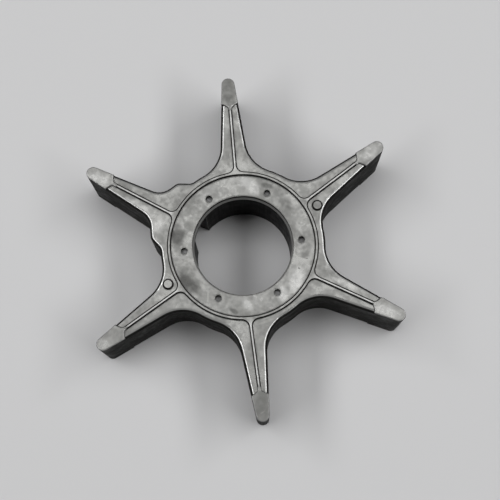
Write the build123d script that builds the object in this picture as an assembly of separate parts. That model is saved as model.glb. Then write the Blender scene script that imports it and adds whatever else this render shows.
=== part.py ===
from build123d import *
import os
from math import acos, cos, radians, sin, tan

# Rubber pump impeller: six flexible vanes moulded in one piece round a bored and keyed insert.
# Millimetres, +Z up the shaft. The origin is on the shaft axis in the plane of the insert's
# lower end, and +X points along the vane that stands over the keyway.

# Vanes
tip_radius = 39.45          # shaft axis to the end of a vane
tip_round = 1.5             # radius of a vane's rounded end
flank_angle = 5.5           # lean of each flank towards the tip
hub_radius = 18.55          # outside of the hub between two vanes
root_fillet = 8.0           # between the hub and a vane's flank
web_height = 16.4           # between the upper and lower faces of the webs and hub
web_edge_radius = 0.85      # rounding along the webs' edges
set_pivot = 19.0            # distance at which a soft vane has bent
vane_set = (-3.5, 0.4, 2.0, -0.4, 1.8, -0.8)    # bend of each vane, keyed vane first

# Sealing ribs and tip pads, on both faces
rib_height = 0.55           # above the web
rib_width = 0.84
rib_bevel = 0.25
ring_inner_radius = 16.12
ring_width = 0.9
rib_root_fillet = 1.6       # where a vane's rib runs into the ring
pad_length = 7.5            # end of the vane to the pad's inner point, where the rib runs in
pad_side = 6.15             # end of the vane to the pad's inner corners, at the flanks
pad_hollow = 0.2            # depth of the curve of each inner edge
pad_bevel = 0.2
pad_start = (0.3, 0.0, 0.25, -0.45, 0.0, 0.0)   # how much further out each pad begins

# Bore, insert and key
bore_radius = 11.0
lip_setback = 0.35          # rubber lip outside the bore
lip_chamfer = 0.6           # depth of the insert's chamfer under the lip
hub_cover = 1.2             # rubber over the insert's upper end
insert_radius = 15.3
keyway_width = 5.9
keyway_reach = 14.2         # shaft axis to the floor of the keyway
keyway_cap = 1.5            # insert left above the keyway
keyway_corner = 0.4
key_wall = 2.7              # insert round the keyway's floor and sides
key_wall_corner = 1.0

# Rubber housing over the key wall
housing_shoulder = (1.05, 7.1)      # beyond the hub, and from the vane's middle
housing_nose = 4.95                 # beyond the hub
housing_side_angle = 23.0
housing_nose_fillet = 4.0
housing_shoulder_fillet = 1.6
housing_side_fillet = 1.9

# Locating pin holes and moulding marks in the upper face
pin_hole_radius = 0.72
pin_hole_circle = 13.2
mark_radius = 1.22
mark_height = 0.5
mark_bevel = 0.33
marks = ((1, 18.85, -7.6), (4, 19.08, -7.1))    # vane beside, distance from the shaft, angle from the vane

# Worked out from the sizes above
vane_count = len(vane_set)
pitch = 360 / vane_count
lean = radians(flank_angle)
tip_centre = tip_radius - tip_round
flank_offset = tip_centre * sin(lean) + tip_round
insert_height = web_height - hub_cover
key_wall_reach = keyway_reach + key_wall
shoulder_x = hub_radius + housing_shoulder[0]
nose_x = hub_radius + housing_nose
pad_apex = tip_radius - pad_length
pad_corner = tip_radius - pad_side
full_height = web_height + 2 * rib_height


def flank(x):
    """Half the width of a vane at a distance from the shaft axis."""
    return (flank_offset - x * sin(lean)) / cos(lean)


def place_vane(index):
    """Place of one vane, turned about the shaft and bent at its root."""
    bend = Pos(X=set_pivot) * Rot(Z=vane_set[index]) * Pos(X=-set_pivot)
    return Rot(Z=index * pitch) * bend


def nearest(shape, x, y):
    """Corner of a flat shape that lies nearest to a point."""
    return shape.vertices().sort_by_distance((x, y, 0))[0]


def vane_blank():
    """Outline of one tapered vane with its round end, from the shaft axis out."""
    end_x = tip_centre + tip_round * sin(lean)
    end_y = tip_round * cos(lean)
    sides = Polyline((end_x, end_y), (0, flank(0)), (0, -flank(0)), (end_x, -end_y))
    end = ThreePointArc((end_x, -end_y), (tip_radius, 0), (end_x, end_y))
    return make_face(sides + end)


def star():
    """Outline of the hub and its six vanes, with wide curves at their roots."""
    blades = [place_vane(index) * vane_blank() for index in range(vane_count)]
    outline = Circle(hub_radius) + blades
    roots = outline.vertices().filter_by(lambda corner: Vector(corner).length < hub_radius + tip_round)
    # The keyed vane's own roots lie inside the housing.
    open_roots = roots.filter_by(lambda corner: corner.X < hub_radius * cos(radians(pitch / 2)))
    return fillet(open_roots, root_fillet)


def key_housing(outline):
    """Widens the outline round the keyed vane's root, with rounded shoulders."""
    x, y = shoulder_x, housing_shoulder[1]
    base = y + x * tan(radians(housing_side_angle))
    roof = Polygon((0, base), (0, -base), (x, -y), (nose_x, 0), (x, y), align=None)
    widened = outline + roof
    nose_slope = (nose_x - x) / y
    meet_x = nose_x - nose_slope * flank(x)
    normal = radians(90 - housing_side_angle)
    foot = normal - acos(base * sin(normal) / hub_radius)
    for side in (1, -1):
        widened = fillet(nearest(widened, meet_x, side * flank(meet_x)), housing_nose_fillet)
        widened = fillet(nearest(widened, x, side * y), housing_shoulder_fillet)
        foot_corner = nearest(widened, hub_radius * cos(foot), side * hub_radius * sin(foot))
        widened = fillet(foot_corner, housing_side_fillet)
    return widened


def webs():
    """Vanes and hub up to the web faces, with their edges rounded."""
    block = extrude(key_housing(star()), amount=web_height)
    faces = block.faces().filter_by(Axis.Z)
    return fillet(faces.edges(), web_edge_radius)


def ribs():
    """Sealing ring and the six vane ribs, standing out of both faces."""
    ring_outer = ring_inner_radius + ring_width
    ring = Circle(ring_outer)
    length = pad_corner - ring_inner_radius
    bar = Pos(X=ring_inner_radius + length / 2) * Rectangle(length, rib_width)
    net = ring + [place_vane(index) * bar for index in range(vane_count)]
    corners = net.vertices().filter_by(lambda corner: Vector(corner).length < ring_outer + rib_width)
    net = fillet(corners, rib_root_fillet) - Circle(ring_inner_radius)
    block = Pos(Z=-rib_height) * extrude(net, amount=full_height)
    faces = block.faces().filter_by(Axis.Z)
    return chamfer(faces.edges(), rib_bevel)


def pad(start):
    """Solid tip of a vane, standing out of both faces, with an arrow-shaped inner end."""
    corner = pad_corner + start
    apex = pad_apex + start
    half = flank(corner)
    arrow = [(corner, half), (apex, 0), (corner, -half)]
    middle = [(corner + apex) / 2 + pad_hollow, half / 2]
    beyond = Polyline(arrow[0], (corner, 2 * half), (2 * tip_radius, 2 * half))
    beyond += Polyline((2 * tip_radius, 2 * half), (2 * tip_radius, -2 * half))
    beyond += Polyline((2 * tip_radius, -2 * half), (corner, -2 * half), arrow[2])
    beyond += ThreePointArc(arrow[0], (middle[0], middle[1]), arrow[1])
    beyond += ThreePointArc(arrow[1], (middle[0], -middle[1]), arrow[2])
    block = Pos(Z=-rib_height) * extrude(vane_blank() & make_face(beyond), amount=full_height)
    faces = block.faces().filter_by(Axis.Z)
    return chamfer(faces.edges(), pad_bevel)


def mark(beside, distance, angle):
    """Low round mark that the mould leaves on a web beside a vane's rib."""
    disc = extrude(Circle(mark_radius), amount=2 * mark_height)
    disc = chamfer(disc.faces().sort_by(Axis.Z)[-1].edges(), mark_bevel)
    return Rot(Z=beside * pitch + angle) * Pos(X=distance, Z=web_height - mark_height) * disc


def insert_blank():
    """Outside of the insert: a plain sleeve with a thicker wall behind the keyway."""
    wall = Pos(X=key_wall_reach / 2) * Rectangle(key_wall_reach, keyway_width + 2 * key_wall)
    wall = fillet(wall.vertices().group_by(Axis.X)[-1], key_wall_corner)
    return extrude(Circle(insert_radius) + wall, amount=insert_height)


def hub_insert():
    """Bored insert with a keyway that is closed at its upper end."""
    bore = Cylinder(bore_radius, insert_height, align=(Align.CENTER, Align.CENTER, Align.MIN))
    mouth = Cone(bore_radius, bore_radius + lip_setback, lip_chamfer, align=bore.align)
    slot = Pos(X=keyway_reach / 2) * Rectangle(keyway_reach, keyway_width)
    slot = fillet(slot.vertices().group_by(Axis.X)[-1], keyway_corner)
    keyway = extrude(slot, amount=insert_height - keyway_cap)
    return insert_blank() - bore - Pos(Z=insert_height - lip_chamfer) * mouth - keyway


def rubber_body():
    """The moulding: hub, vanes, ribs, pads and marks, with the insert's place left in it."""
    body = webs() + ribs()
    body += [place_vane(index) * pad(pad_start[index]) for index in range(vane_count)]
    body += [mark(*place) for place in marks]
    lip = Pos(Z=web_height / 2) * Cylinder(bore_radius + lip_setback, 2 * full_height)
    pin_hole = Pos(X=pin_hole_circle, Z=web_height) * Cylinder(pin_hole_radius, 2 * hub_cover)
    holes = [Rot(Z=(index + 0.5) * pitch) * pin_hole for index in range(vane_count)]
    return body - insert_blank() - lip - holes


os.makedirs("parts", exist_ok=True)
for name, solid in (("rubber_body", rubber_body()), ("hub_insert", hub_insert())):
    export_step(solid, f"parts/{name}.step")
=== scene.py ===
"""Rubber pump impeller: the finish of its moulded rubber and hub insert, with floor, light and camera."""

from math import cos, radians, sin
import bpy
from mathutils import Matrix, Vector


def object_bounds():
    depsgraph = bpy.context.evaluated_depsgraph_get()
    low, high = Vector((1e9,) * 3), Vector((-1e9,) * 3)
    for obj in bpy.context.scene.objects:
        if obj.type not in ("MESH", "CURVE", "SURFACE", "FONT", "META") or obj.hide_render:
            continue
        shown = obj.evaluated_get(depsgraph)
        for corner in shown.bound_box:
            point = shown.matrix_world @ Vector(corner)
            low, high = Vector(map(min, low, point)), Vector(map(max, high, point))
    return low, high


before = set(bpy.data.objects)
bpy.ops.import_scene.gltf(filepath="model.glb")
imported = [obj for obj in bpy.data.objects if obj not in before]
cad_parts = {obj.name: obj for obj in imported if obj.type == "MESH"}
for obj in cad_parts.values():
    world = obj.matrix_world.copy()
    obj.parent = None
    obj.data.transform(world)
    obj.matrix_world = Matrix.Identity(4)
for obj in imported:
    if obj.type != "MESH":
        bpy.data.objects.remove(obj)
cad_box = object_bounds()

from types import SimpleNamespace

import bmesh
import bpy
from mathutils import Matrix, Vector

MM = 0.001
WHITE = (1.0, 1.0, 1.0, 1.0)
WHOLE = (0.0, 1.0)

# Camera, in a frame that is turned about the shaft so that +Y is up in the picture
picture_turn = radians(155.65)
camera_tilt = radians(11.53)
camera_pan = radians(0.67)
camera_place = Vector((1.40, 2.31, 261.6)) * MM
nearest_view = 10 * MM
sensor_width = 36.0
lens_length = 78.7

# Floor and background
floor_size = 6.0
floor_colour = (0.56, 0.56, 0.565, 1.0)
floor_roughness = 0.7
floor_gloss = 0.2
floor_fade = (0.25, 0.7)    # distances from the shaft between which the floor turns into the background
background_light = 0.6

# Lamps, which all shine at the origin
softbox_distance = 0.8
softbox_lean = radians(14)
softbox_size = (0.62, 0.36)
softbox_power = 2.3
side_lamp_distance = 0.9
side_lamp_height = radians(50)
side_lamp_size = (0.9, 0.2)
side_lamp_power = 4.2
room_light = 0.02

# Rubber: colours
rubber_dark = (0.005, 0.005, 0.0045, 1.0)
rubber_pale = (0.013, 0.013, 0.012, 1.0)
rubber_bloom = (0.07, 0.07, 0.064, 1.0)
wall_streak = (0.017, 0.017, 0.016, 1.0)
bloom_share = 0.4
rub_share = 0.6
scratch_share = 0.9
scuff_share = 0.7

# Rubber: roughness, gloss and polish
rubber_smooth = 0.27
rubber_rough = 0.47
wall_rough = 0.66
area_roughness = 0.07
grain_roughness = 0.03
dull_roughness = 0.25
bright_smoothness = 0.09
face_gloss = 1.0
wall_gloss = 0.022
dull_gloss_loss = 0.4
mottle_gloss_loss = 0.15
rubber_ior = 1.7
gloss_tint = (1.0, 1.0, 0.965, 1.0)
rib_polish = 0.6
bright_polish = 0.32
polish_roughness = 0.14
polish_ior = 2.2

# Rubber: softness of edges and feet, as radii, and depth of the relief
soft_edge = 0.08 * MM
soft_foot = 0.26 * MM
ring_foot = 0.6 * MM
pad_foot = 0.36 * MM
rim_softness = 0.45 * MM
rib_softness = 0.14 * MM
edge_samples = 8
relief_samples = 6
seam_depth = 0.06 * MM
drawn_depth = 0.006 * MM
dent_depth = 0.012 * MM
mottle_depth = 0.006 * MM
grain_depth = 0.003 * MM

# Slopes that tell faces, edges and walls apart: 0 on an upright wall and 1 on a level face
level_slopes = (0.975, 0.998)
face_slopes = (0.82, 0.93)
rim_slopes = (0.45, 0.62)           # bevels of the tip pads
resin_slopes = (0.3, 0.48)
lip_slopes = (0.8, 0.95)            # the insert's chamfer under the rubber lip, which is painted pale as a highlight
wear_and_highlight_turns = (0.80, 0.98)           # cosine of the turn at an edge that is paler partly from wear and partly as a painted highlight

# Zones of the rubber body, each from where it begins to where it is full
middle_height = 8.2 * MM
raised_heights = (8.3 * MM, 8.6 * MM)       # ribs, ring and pads, from the middle height
rib_heights = (8.71 * MM, 8.74 * MM)        # above the moulding marks
seam_heights = (0.0, 0.07 * MM)             # raised line that the mould's joint leaves round the walls
ring_inside = (16.0 * MM, 16.3 * MM)        # from the shaft axis, as all that follow
ring_outside = (17.2 * MM, 18.2 * MM)
pad_approach = (30.1 * MM, 31.6 * MM)
rib_finish = (31.2 * MM, 31.6 * MM)
pad_start = (31.6 * MM, 32.1 * MM)

# Patterns of the rubber's skin: size of their patches
cloud_size = 3.0 * MM
area_size = 9.0 * MM
mottle_size = 0.9 * MM
grain_size = 0.16 * MM
smear_size = 1.6 * MM
rub_size = 1.3 * MM
scratch_size = 0.35 * MM
scuff_size = 0.45 * MM
drawn_size = 0.35 * MM
cloud_share = 0.6                   # the rest is mottle, or draw marks on the insert

# Their stretch along the part's axes, and their turn in degrees
smear_stretch = ((1.0, 0.22, 1.0), 35)
rub_stretch = ((0.2, 1.0, 1.0), -20)
scratch_stretch = ((1.0, 0.05, 1.0), 60)
scuff_stretch = ((0.08, 1.0, 1.0), -35)
drawn_stretch = ((0.006, 0.006, 1.0), 0)

# The part of each pattern's range from 0 to 1 over which it shows
cloud_range = (0.35, 0.65)
area_range = (0.3, 0.7)
bloom_range = (0.38, 0.62)
blend_range = (0.38, 0.62)
grain_range = (0.3, 0.7)
smear_range = (0.48, 0.74)
rub_range = (0.50, 0.76)
scratch_range = (0.70, 0.80)
scuff_range = (0.64, 0.78)
drawn_range = (0.5, 0.75)

# Marks of use on the faces: place and size of each in mm, its turn in degrees, and how strong it is
dull_patches = (
    (14.2, 4.2, 2.6, 2.0, -70, 1.0), (15.2, 2.2, 1.4, 1.1, 0, 0.6), (14.3, -3.2, 1.9, 1.2, 80, 0.2),
    (8.4, 12.6, 3.0, 1.5, 140, 0.8), (6.4, 14.2, 1.6, 1.2, 0, 0.6), (0.5, -14.8, 1.8, 0.8, 10, 0.6),
    (-4.3, 14.4, 1.7, 0.8, 165, 0.6), (-13.7, -4.0, 1.2, 0.9, 60, 0.45), (-13.5, -0.5, 0.3, 0.26, 0, 0.9),
    (-14.3, -3.2, 0.3, 0.2, 30, 0.8), (13.2, -9.6, 1.8, 0.9, 40, 0.4), (18.0, -31.4, 5.0, 3.0, -60, 0.42),
    (-18.6, 31.0, 5.0, 3.0, 120, 0.48), (13.2, 1.4, 1.6, 1.2, 90, 0.25), (6.2, 13.0, 2.9, 1.5, 150, 0.75),
    (-4.8, -12.9, 2.6, 1.5, -20, 0.4),
)
bright_patches = (
    (4.4, -13.4, 3.2, 1.8, -15, 0.9), (-14.2, 2.2, 3.4, 2.1, 100, 1.0), (-12.6, 6.4, 2.4, 1.5, 120, 1.0),
    (12.4, -7.0, 1.6, 1.2, 60, 0.6), (-6.6, 12.0, 2.0, 1.2, 150, 0.7), (35.9, -0.5, 3.4, 1.8, 0, 0.8),
    (-35.5, 0.6, 3.4, 1.8, 0, 1.0), (27.0, 1.4, 4.6, 1.0, 2, 0.9), (19.6, 4.2, 2.2, 1.6, 60, 0.8),
    (-24.6, -1.4, 4.4, 0.9, 0, 0.7), (-19.4, -4.4, 2.4, 1.2, 110, 0.6), (-12.6, -29.6, 4.0, 0.8, -110, 0.6),
    (-17.6, -31.4, 3.4, 1.5, -120, 0.6), (19.0, 33.2, 1.9, 1.3, 60, 0.5),
)
dry_streaks = (
    (2.2, 14.0, 1.5, 0.28, 112, 1.0), (11.1, 8.8, 0.6, 0.22, 165, 0.8), (10.4, 8.4, 0.65, 0.22, -108, 0.9),
    (4.5, 12.0, 1.1, 0.45, 153, 0.6), (-1.6, -15.2, 0.8, 0.12, 132, 0.6), (-11.8, 13.6, 2.1, 0.35, -135, 0.9),
    (-6.1, 17.8, 1.5, 0.4, -140, 0.8), (-27.0, 1.2, 0.95, 0.1, -103, 1.0), (-26.2, 1.5, 0.5, 0.08, -95, 0.7),
    (-19.2, 32.2, 0.9, 0.13, -120, 0.8),
)
mark_fade = (0.35, 1.15)            # share of a mark's size over which it fades out
patch_shake = (2.2 * MM, 1.2 * MM)  # size and reach of the noise that makes the rims ragged
streak_shake = (0.6 * MM, 0.25 * MM)

# Insert
resin_dark = (0.002, 0.002, 0.002, 1.0)
resin_pale = (0.006, 0.006, 0.006, 1.0)
# Paler colour of the insert's edges, partly wear and partly a painted highlight, and of its lip chamfer,
# which is painted pale as a highlight
resin_wear_and_highlight = (0.18, 0.18, 0.175, 1.0)
wear_and_highlight_width = 0.4 * MM
resin_smooth = 0.34
resin_rough = 0.50
resin_grain_size = 0.12 * MM
draw_size = 0.5 * MM
draw_stretch = (1.0, 1.0, 0.04)
draw_depth = 0.008 * MM

origin = Vector((0, 0, 0))
picture_right = Matrix.Rotation(-picture_turn, 3, "Z") @ Vector((1, 0, 0))
picture_up = Matrix.Rotation(-picture_turn, 3, "Z") @ Vector((0, 1, 0))
floor_height = cad_box[0][2]


class Finish:
    """A procedural material, built step by step on the piece's own coordinates."""

    def __init__(self, name):
        self.material = bpy.data.materials.new(name)
        self.material.use_nodes = True
        self.tree = self.material.node_tree
        self.shader = self.tree.nodes["Principled BSDF"]
        self.place = self.add("ShaderNodeTexCoord").outputs["Object"]
        self.normal = self.add("ShaderNodeNewGeometry").outputs["Normal"]

    def add(self, kind, **settings):
        """A new node of a kind, with its settings."""
        node = self.tree.nodes.new(kind)
        for key, value in settings.items():
            setattr(node, key, value)
        return node

    def feed(self, socket, value):
        """Gives a socket a number, a vector or a colour, or links a value to it."""
        if isinstance(value, (int, float, tuple)):
            socket.default_value = value
        else:
            self.tree.links.new(value, socket)

    def give(self, name, value):
        """Gives the shader's socket of that name a value."""
        self.feed(self.shader.inputs[name], value)

    def together(self, operation, *values):
        """Values and numbers put together, from the left, by one math operation."""
        total = values[0]
        for value in values[1:]:
            step = self.add("ShaderNodeMath", operation=operation)
            self.feed(step.inputs[0], total)
            self.feed(step.inputs[1], value)
            total = step.outputs["Value"]
        return total

    def times(self, *values):
        """Product of values."""
        return self.together("MULTIPLY", *values)

    def plus(self, *values):
        """Sum of values."""
        return self.together("ADD", *values)

    def minus(self, first, second):
        """One value less another."""
        return self.together("SUBTRACT", first, second)

    def most(self, *values):
        """The greatest of values."""
        return self.together("MAXIMUM", *values)

    def outside(self, mask):
        """1 where a mask is 0, and the other way round."""
        return self.minus(1.0, mask)

    def vector(self, operation, *values):
        """A vector math step, which gives a number for a length or a dot product."""
        step = self.add("ShaderNodeVectorMath", operation=operation)
        for socket, value in zip(step.inputs, values):
            self.feed(socket, value)
        return step.outputs["Value" if operation in ("LENGTH", "DOT_PRODUCT") else "Vector"]

    def spread(self, value, limits, at_low=0.0, at_high=1.0):
        """Value mapped smoothly from between its limits to another range, and held at its ends."""
        step = self.add("ShaderNodeMapRange", interpolation_type="SMOOTHSTEP")
        step.inputs["From Min"].default_value, step.inputs["From Max"].default_value = limits
        step.inputs["To Min"].default_value = at_low
        step.inputs["To Max"].default_value = at_high
        self.feed(step.inputs["Value"], value)
        return step.outputs["Result"]

    def fade(self, value, limits):
        """1 up to the lower limit of a value, fading out up to the higher one."""
        return self.spread(value, limits, 1.0, 0.0)

    def mix(self, share, first, second):
        """A colour between two others."""
        step = self.add("ShaderNodeMix", data_type="RGBA")
        colours = [socket for socket in step.inputs if socket.type == "RGBA"]
        self.feed(step.inputs["Factor"], share)
        self.feed(colours[0], first)
        self.feed(colours[1], second)
        return next(socket for socket in step.outputs if socket.type == "RGBA")

    def blend(self, first, second):
        """Two patterns added up to one, the first with the clouds' share."""
        return self.plus(self.times(first, cloud_share), self.times(second, 1 - cloud_share))

    def noise(self, size, detail, rough=0.5, warp=0.0, place=None, result="Fac"):
        """Cloudy noise with patches of about that size, from 0 to 1."""
        step = self.add("ShaderNodeTexNoise")
        step.inputs["Scale"].default_value = 1 / size
        step.inputs["Detail"].default_value = detail
        step.inputs["Roughness"].default_value = rough
        step.inputs["Distortion"].default_value = warp
        self.feed(step.inputs["Vector"], place or self.place)
        return step.outputs[result]

    def stretched(self, scale, turn=0):
        """The piece's coordinates, turned by some degrees about the shaft and stretched."""
        step = self.add("ShaderNodeMapping")
        step.inputs["Scale"].default_value = scale
        step.inputs["Rotation"].default_value = (0, 0, radians(turn))
        self.feed(step.inputs["Vector"], self.place)
        return step.outputs["Vector"]

    def shaken(self, size, reach):
        """The piece's coordinates, shaken by a noise so that marks get ragged rims."""
        noise = self.noise(size, detail=4.0, result="Color")
        centred = self.vector("SUBTRACT", noise, (0.5, 0.5, 0.5))
        return self.vector("MULTIPLY_ADD", centred, (reach, reach, 0.0), self.place)

    def marks(self, table, shake):
        """1 inside the oval marks of a table, fading out at their ragged rims."""
        place = self.shaken(*shake)
        inside = 0.0
        for x, y, long, wide, turn, strength in table:
            step = self.add("ShaderNodeMapping", vector_type="TEXTURE")
            step.inputs["Location"].default_value = (x * MM, y * MM, 0.0)
            step.inputs["Rotation"].default_value = (0.0, 0.0, radians(turn))
            step.inputs["Scale"].default_value = (long * MM, wide * MM, 1.0)
            self.feed(step.inputs["Vector"], place)
            from_middle = self.vector("LENGTH", step.outputs["Vector"])
            inside = self.most(self.spread(from_middle, mark_fade, strength, 0.0), inside)
        return inside

    def upright_part(self, vector, level=0.0):
        """How far a vector's end lies above or below a level."""
        parts = self.add("ShaderNodeSeparateXYZ")
        self.feed(parts.inputs["Vector"], vector)
        return self.together("ABSOLUTE", self.minus(parts.outputs["Z"], level), 0.0)

    def slope(self):
        """How far the surface faces up or down: 1 on level faces, 0 on upright walls."""
        return self.upright_part(self.normal)

    def height(self):
        """Distance of the surface from the middle of the part's height."""
        return self.upright_part(self.place, middle_height)

    def reach(self):
        """Distance of the surface from the shaft axis."""
        return self.vector("LENGTH", self.vector("MULTIPLY", self.place, (1.0, 1.0, 0.0)))

    def softened(self, radius, samples):
        """The surface's normal, rounded over its edges by a radius."""
        step = self.add("ShaderNodeBevel", samples=samples)
        self.feed(step.inputs["Radius"], radius)
        return step.outputs["Normal"]

    def edge_wear_and_highlight(self, width):
        """1 along the edges of the piece, fading out over a width: the edges painted paler, partly as wear
        and partly as a painted highlight.
        """
        turned = self.vector("DOT_PRODUCT", self.softened(width, edge_samples), self.normal)
        return self.fade(turned, wear_and_highlight_turns)

    def bump(self, pattern, depth, normal):
        """A normal with a pattern of that depth raised on it."""
        step = self.add("ShaderNodeBump")
        step.inputs["Strength"].default_value = 1.0
        step.inputs["Distance"].default_value = depth
        self.feed(step.inputs["Height"], pattern)
        self.feed(step.inputs["Normal"], normal)
        return step.outputs["Normal"]


def rubber_zones(finish):
    """Masks of the rubber body, each 1 inside its zone."""
    slope = finish.slope()
    height = finish.height()
    reach = finish.reach()
    zones = SimpleNamespace()
    zones.level = finish.spread(slope, level_slopes)
    tilted = finish.outside(zones.level)
    gentle = finish.spread(slope, face_slopes)
    zones.edge = finish.times(gentle, tilted)
    zones.raised = finish.spread(height, raised_heights)
    pad = finish.times(zones.raised, finish.spread(reach, pad_start))
    zones.rim = finish.times(pad, finish.spread(slope, rim_slopes), tilted)
    zones.face = finish.most(gentle, zones.rim)
    zones.upright = finish.outside(zones.face)
    zones.seam = finish.times(zones.upright, finish.fade(height, seam_heights))
    beyond_ring = finish.spread(reach, ring_outside)
    zones.rib = finish.times(finish.spread(height, rib_heights), beyond_ring, finish.fade(reach, rib_finish))
    zones.outer = finish.spread(reach, ring_inside)
    zones.near_pad = finish.spread(reach, pad_approach)
    return zones


def rubber_skin(finish):
    """Patterns of the rubber's skin and its marks of use."""
    skin = SimpleNamespace()
    skin.dull = finish.marks(dull_patches, patch_shake)
    skin.bright = finish.marks(bright_patches, patch_shake)
    skin.dry = finish.marks(dry_streaks, streak_shake)
    skin.clouds = finish.noise(cloud_size, detail=6.0, rough=0.62, warp=0.15)
    skin.areas = finish.noise(area_size, detail=2.0)
    skin.mottle = finish.noise(mottle_size, detail=4.0, rough=0.65)
    skin.grain = finish.noise(grain_size, detail=2.0, rough=0.6)
    skin.smears = finish.noise(smear_size, detail=4.0, rough=0.6, place=finish.stretched(*smear_stretch))
    skin.rubs = finish.noise(rub_size, detail=4.0, rough=0.6, place=finish.stretched(*rub_stretch))
    skin.scratches = finish.noise(scratch_size, detail=1.0, place=finish.stretched(*scratch_stretch))
    skin.scuffs = finish.noise(scuff_size, detail=2.0, place=finish.stretched(*scuff_stretch))
    skin.drawn = finish.noise(drawn_size, detail=2.0, place=finish.stretched(*drawn_stretch))
    skin.blend = finish.blend(skin.clouds, skin.mottle)
    return skin


def rubber_colour(finish, zones, skin):
    """Black with paler clouds, a dry grey bloom on the faces and draw streaks on the walls."""
    colour = finish.mix(finish.spread(skin.clouds, cloud_range), rubber_dark, rubber_pale)
    streaks = finish.times(zones.upright, finish.spread(skin.drawn, drawn_range))
    colour = finish.mix(streaks, colour, wall_streak)
    bloom = finish.times(finish.spread(skin.smears, smear_range), finish.spread(skin.areas, bloom_range))
    rubs = finish.times(finish.spread(skin.rubs, rub_range), rub_share)
    scratches = finish.times(finish.spread(skin.scratches, scratch_range), scratch_share)
    scuffs = finish.times(finish.spread(skin.scuffs, scuff_range), scuff_share)
    bloom = finish.times(finish.plus(bloom, rubs, scratches, scuffs), bloom_share)
    bloom = finish.times(finish.most(bloom, skin.dry), zones.level)
    finish.give("Base Color", finish.mix(bloom, colour, rubber_bloom))


def rubber_roughness(finish, zones, skin):
    """Smoother where the skin is rubbed bright, rougher where it is dull, and roughest on the walls."""
    clouds = finish.spread(skin.blend, blend_range, rubber_smooth, rubber_rough)
    areas = finish.spread(skin.areas, area_range, -area_roughness, area_roughness)
    dull = finish.times(skin.dull, dull_roughness)
    bright = finish.times(skin.bright, -bright_smoothness)
    grain = finish.spread(skin.grain, grain_range, -grain_roughness, grain_roughness)
    walls = finish.times(zones.upright, wall_rough - rubber_rough)
    finish.give("Roughness", finish.plus(clouds, areas, dull, bright, grain, walls))


def rubber_gloss(finish, zones, skin):
    """Glossy faces, less so where the skin is dull or mottled, and walls with hardly any gloss."""
    faces = finish.spread(zones.face, WHOLE, wall_gloss, face_gloss)
    dull = finish.spread(skin.dull, WHOLE, 1.0, 1.0 - dull_gloss_loss)
    mottle = finish.spread(skin.blend, blend_range, 1.0, 1.0 - mottle_gloss_loss)
    finish.give("Specular IOR Level", finish.times(faces, dull, mottle))
    finish.give("IOR", rubber_ior)
    finish.give("Specular Tint", gloss_tint)


def rubber_polish(finish, zones, skin):
    """A polish on edges, rims and ribs, and where the faces are rubbed bright."""
    rubbed = finish.plus(finish.times(zones.rib, rib_polish), finish.times(skin.bright, bright_polish))
    edges = finish.most(zones.edge, zones.rim)
    finish.give("Coat Weight", finish.plus(edges, finish.times(rubbed, zones.level)))
    finish.give("Coat Roughness", polish_roughness)
    finish.give("Coat IOR", polish_ior)


def rubber_relief(finish, zones, skin):
    """Soft edges and feet of the ribs, then the seam, draw marks, dents and grain on them."""
    foot = finish.spread(zones.outer, WHOLE, ring_foot, soft_foot)
    foot = finish.plus(foot, finish.times(zones.near_pad, pad_foot - soft_foot))
    sharpened = finish.times(finish.minus(foot, soft_edge), zones.raised)
    rims = finish.times(zones.rim, rim_softness)
    ribs = finish.times(zones.rib, rib_softness)
    softness = finish.plus(finish.minus(foot, sharpened), rims, ribs)
    seamed = finish.bump(zones.seam, seam_depth, finish.softened(softness, relief_samples))
    drawn = finish.bump(finish.times(skin.drawn, zones.upright), drawn_depth, seamed)
    dented = finish.bump(skin.clouds, dent_depth, drawn)
    mottled = finish.bump(skin.mottle, mottle_depth, dented)
    finish.give("Normal", finish.bump(skin.grain, grain_depth, mottled))
    finish.give("Coat Normal", dented)


def moulded_rubber():
    """Black moulded rubber: satin faces with scuffs and a dry bloom, polished edges and dull walls."""
    finish = Finish("moulded_rubber_finish")
    zones = rubber_zones(finish)
    skin = rubber_skin(finish)
    rubber_colour(finish, zones, skin)
    rubber_roughness(finish, zones, skin)
    rubber_gloss(finish, zones, skin)
    rubber_polish(finish, zones, skin)
    rubber_relief(finish, zones, skin)
    return finish.material


def insert_resin():
    """Dark filled resin of the hub insert, with draw marks down the bore, edges paler partly from wear and
    partly as a painted highlight, and the chamfer under the rubber lip painted pale as a highlight.
    """
    finish = Finish("insert_resin_finish")
    slope = finish.slope()
    face = finish.spread(slope, resin_slopes)
    # The chamfer under the rubber lip is painted pale as a highlight. The edges are paler partly from wear
    # and partly as a painted highlight.
    lip_highlight = finish.times(face, finish.fade(slope, lip_slopes))
    wear_and_highlight = finish.most(finish.edge_wear_and_highlight(wear_and_highlight_width), lip_highlight)
    draw = finish.noise(draw_size, detail=2.0, place=finish.stretched(draw_stretch))
    blend = finish.blend(finish.noise(cloud_size, detail=3.0, warp=0.4), draw)
    colour = finish.mix(finish.spread(blend, cloud_range), resin_dark, resin_pale)
    finish.give("Base Color", finish.mix(wear_and_highlight, colour, resin_wear_and_highlight))
    finish.give("Roughness", finish.spread(blend, cloud_range, resin_smooth, resin_rough))
    finish.give("Specular IOR Level", finish.spread(face, WHOLE, wall_gloss, face_gloss))
    drawn = finish.bump(draw, draw_depth, finish.softened(soft_edge, relief_samples))
    finish.give("Normal", finish.bump(finish.noise(resin_grain_size, detail=2.0), grain_depth, drawn))
    return finish.material


def seen_rays(tree):
    """1 where the background is seen, also in a reflection or through a clear piece."""
    path = tree.nodes.new("ShaderNodeLightPath")
    seen = path.outputs["Is Camera Ray"]
    for kind in ("Is Glossy Ray", "Is Transmission Ray"):
        either = tree.nodes.new("ShaderNodeMath")
        either.operation = "MAXIMUM"
        tree.links.new(seen, either.inputs[0])
        tree.links.new(path.outputs[kind], either.inputs[1])
        seen = either.outputs["Value"]
    return seen


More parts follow.
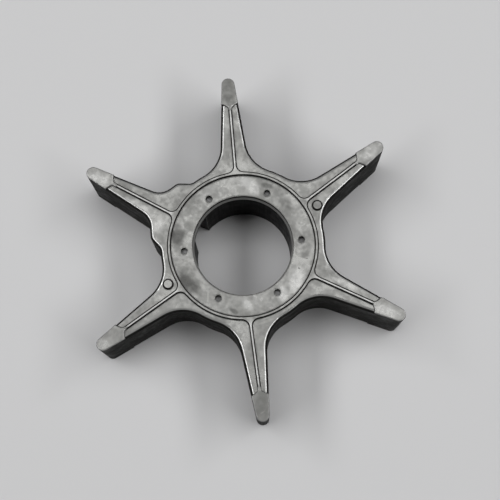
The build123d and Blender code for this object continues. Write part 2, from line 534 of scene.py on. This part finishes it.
def floor_finish():
    """A plain pale sheet that turns into the background far from the impeller."""
    finish = Finish("floor_finish")
    finish.give("Base Color", floor_colour)
    finish.give("Roughness", floor_roughness)
    finish.give("Specular IOR Level", floor_gloss)
    glow = finish.add("ShaderNodeEmission")
    glow.inputs["Strength"].default_value = background_light
    both = finish.add("ShaderNodeMixShader")
    far = finish.spread(finish.reach(), floor_fade)
    finish.feed(both.inputs["Fac"], finish.times(far, seen_rays(finish.tree)))
    finish.feed(both.inputs[1], finish.shader.outputs["BSDF"])
    finish.feed(both.inputs[2], glow.outputs["Emission"])
    finish.feed(finish.tree.nodes["Material Output"].inputs["Surface"], both.outputs["Shader"])
    return finish.material


def pale_floor():
    """The sheet that the impeller lies on."""
    sheet = bmesh.new()
    level = Matrix.Translation((0, 0, floor_height))
    bmesh.ops.create_grid(sheet, x_segments=1, y_segments=1, size=floor_size / 2, matrix=level)
    mesh = bpy.data.meshes.new("floor")
    sheet.to_mesh(mesh)
    sheet.free()
    mesh.materials.append(floor_finish())
    floor = bpy.data.objects.new("floor", mesh)
    bpy.context.scene.collection.objects.link(floor)


def dress(node, material):
    """Gives a solid of the model its finish."""
    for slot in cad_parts[node].material_slots:
        slot.material = material


def facing(place, across):
    """Matrix of a lamp at a place that shines at the origin, with its width along a direction."""
    back = (place - origin).normalized()
    side = (across - across.dot(back) * back).normalized()
    up = back.cross(side)
    turned = Matrix((side, up, back)).transposed().to_4x4()
    return Matrix.Translation(place) @ turned


def area_lamp(name, place, across, size, power):
    """A soft rectangular lamp that shines at the hub."""
    data = bpy.data.lights.new(name, "AREA")
    data.shape = "RECTANGLE"
    data.size, data.size_y = size
    data.energy = power
    lamp = bpy.data.objects.new(name, data)
    bpy.context.scene.collection.objects.link(lamp)
    lamp.matrix_world = facing(place, across)


def studio_lamps():
    """A wide softbox above and behind the part, and two weak lamps at its sides."""
    above = picture_up * sin(softbox_lean) + Vector((0, 0, 1)) * cos(softbox_lean)
    area_lamp("softbox", above * softbox_distance, picture_right, softbox_size, softbox_power)
    for name, side in (("left_lamp", -1), ("right_lamp", 1)):
        beside = picture_right * side * cos(side_lamp_height) + Vector((0, 0, sin(side_lamp_height)))
        area_lamp(name, beside * side_lamp_distance, picture_up, side_lamp_size, side_lamp_power)


def studio_room():
    """A dim room, which is seen as a pale background."""
    world = bpy.data.worlds.new("room")
    bpy.context.scene.world = world
    world.use_nodes = True
    tree = world.node_tree
    room = tree.nodes["Background"]
    room.inputs["Color"].default_value = WHITE
    light = tree.nodes.new("ShaderNodeMapRange")
    light.inputs["To Min"].default_value = room_light
    light.inputs["To Max"].default_value = background_light
    tree.links.new(seen_rays(tree), light.inputs["Value"])
    tree.links.new(light.outputs["Result"], room.inputs["Strength"])


def camera_at_photo_angle():
    """The camera, above the part and a little to the picture's south, looking down."""
    data = bpy.data.cameras.new("camera")
    data.sensor_width = sensor_width
    data.lens = lens_length
    data.clip_start = nearest_view
    camera = bpy.data.objects.new("camera", data)
    bpy.context.scene.collection.objects.link(camera)
    turned = Matrix.Rotation(-picture_turn, 4, "Z")
    raised = Matrix.Translation(Vector((0, 0, floor_height)))
    tipped = Matrix.Rotation(camera_pan, 4, "Y") @ Matrix.Rotation(camera_tilt, 4, "X")
    camera.matrix_world = turned @ raised @ tipped @ Matrix.Translation(camera_place)
    bpy.context.scene.camera = camera


camera_at_photo_angle()
pale_floor()
studio_lamps()
studio_room()
dress("rubber_body", moulded_rubber())
dress("hub_insert", insert_resin())
bpy.context.scene.view_settings.view_transform = "Standard"
